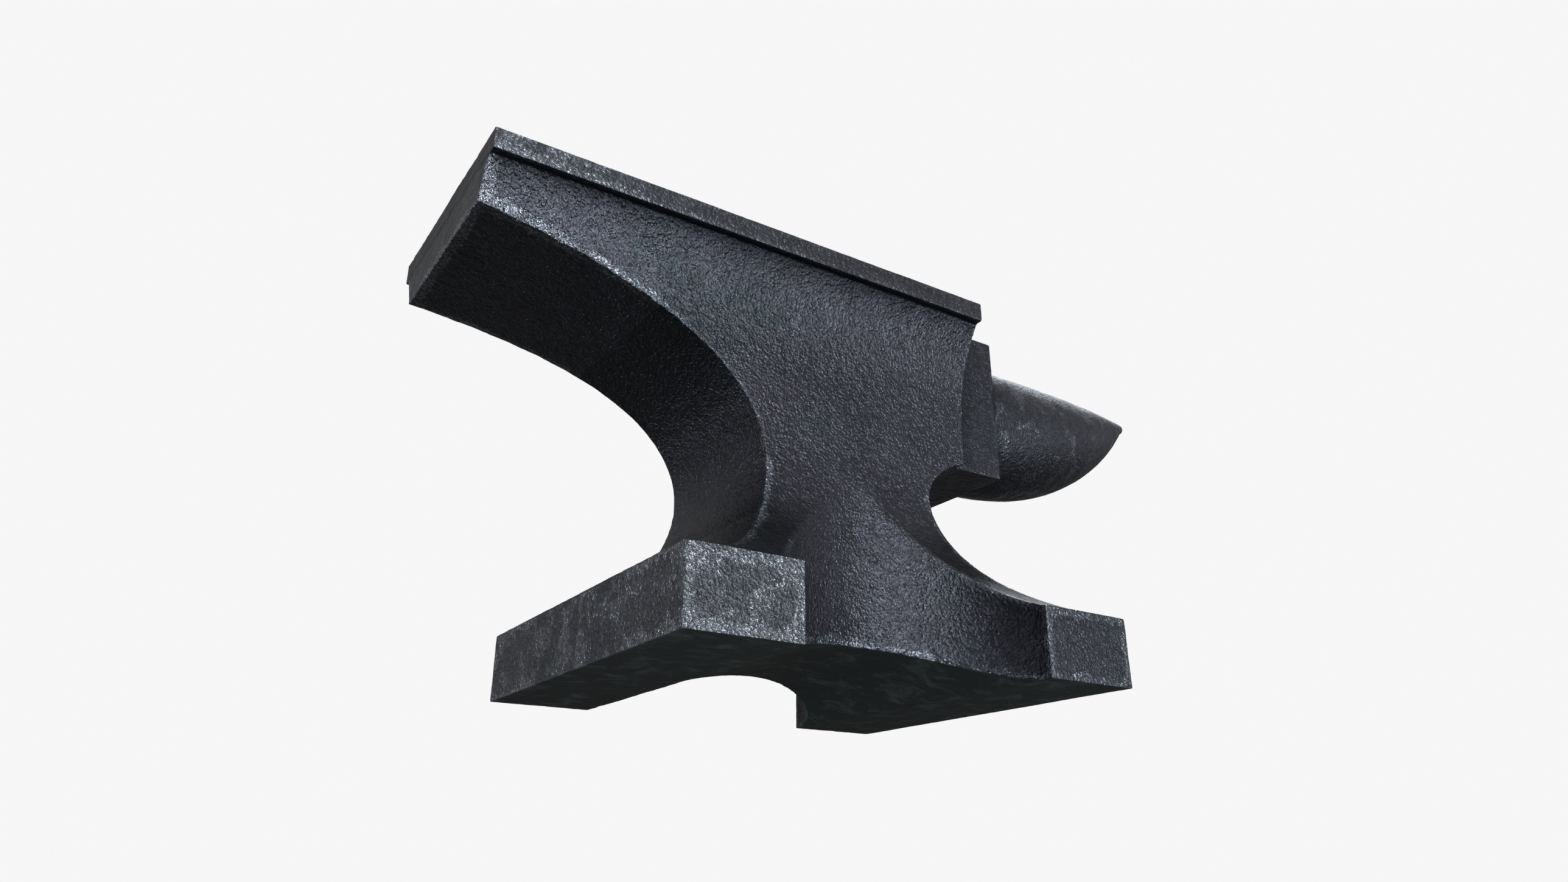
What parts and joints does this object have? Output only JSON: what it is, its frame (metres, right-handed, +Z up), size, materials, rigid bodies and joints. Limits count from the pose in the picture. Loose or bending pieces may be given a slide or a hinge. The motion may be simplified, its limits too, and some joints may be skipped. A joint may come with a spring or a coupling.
{
  "type": "anvil",
  "caption": "Blacksmith's anvil: steel face plate over a waisted iron body, overhanging heel, square table block, round tapered horn, arched base with corner feet.",
  "frame": {"origin": "on the ground, under the middle of the overall box", "axes": "+X from the heel to the horn's tip, +Z up, +Y to the far side; the body is mirror-symmetric about Y = 0"},
  "size_m": [0.5436, 0.24, 0.246],
  "materials": {
    "core_iron": "dark, pebbled casting skin with worn bright edges",
    "heel_iron": "dark, smoother underside",
    "foot_iron": "pebbled, rubbed bright",
    "table_iron": "dark, pebbled",
    "horn_iron": "dark, polished patches along the top",
    "face_steel": "worn steel"
  },
  "bodies": {
    "root": {"waist_core": "core_iron", "heel_block": "heel_iron", "foot_heel_near": "foot_iron", "foot_heel_far": "foot_iron", "foot_horn_near": "foot_iron", "foot_horn_far": "foot_iron", "table_block": "table_iron", "horn": "horn_iron", "face_plate": "face_steel"}
  },
  "joints": []
}
